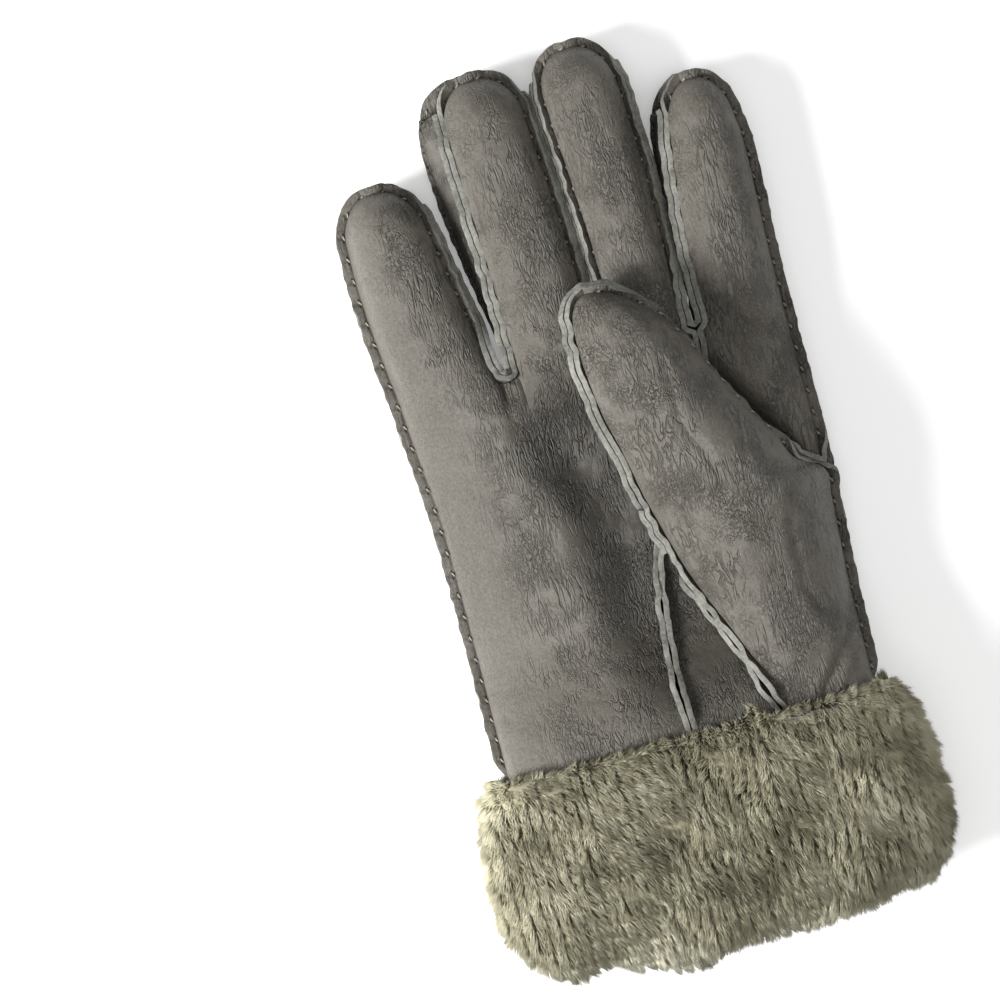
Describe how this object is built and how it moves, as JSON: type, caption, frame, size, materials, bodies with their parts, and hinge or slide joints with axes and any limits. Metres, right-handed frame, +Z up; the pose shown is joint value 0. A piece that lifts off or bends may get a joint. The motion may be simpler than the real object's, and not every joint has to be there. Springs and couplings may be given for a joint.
{
  "type": "shearling leather glove",
  "caption": "Right-hand shearling leather glove lying palm up, thumb folded over the palm, outward-turned seams and a turned-back fleece cuff.",
  "frame": {"origin": "middle of the glove's box, on the surface that it lies on", "axes": "+Y from the cuff to the fingertips, +X to the thumb side, +Z up out of the palm"},
  "size_m": [0.1408, 0.274, 0.0497],
  "materials": {
    "hide": "taupe-grey pebbled hide, semi-matt",
    "side_hide": "the same hide in the side strips between the fingers",
    "fleece": "olive-grey sheared wool pile with light tips"
  },
  "bodies": {
    "root": {"palm_panel": "hide", "back_panel": "hide", "index_panel": "hide", "thumb_leaf": "hide", "thumb_underside": "hide", "side_strip_little_ring": "side_hide", "side_strip_ring_middle": "side_hide", "side_strip_middle_index": "side_hide", "cuff_fleece": "fleece"}
  },
  "joints": []
}
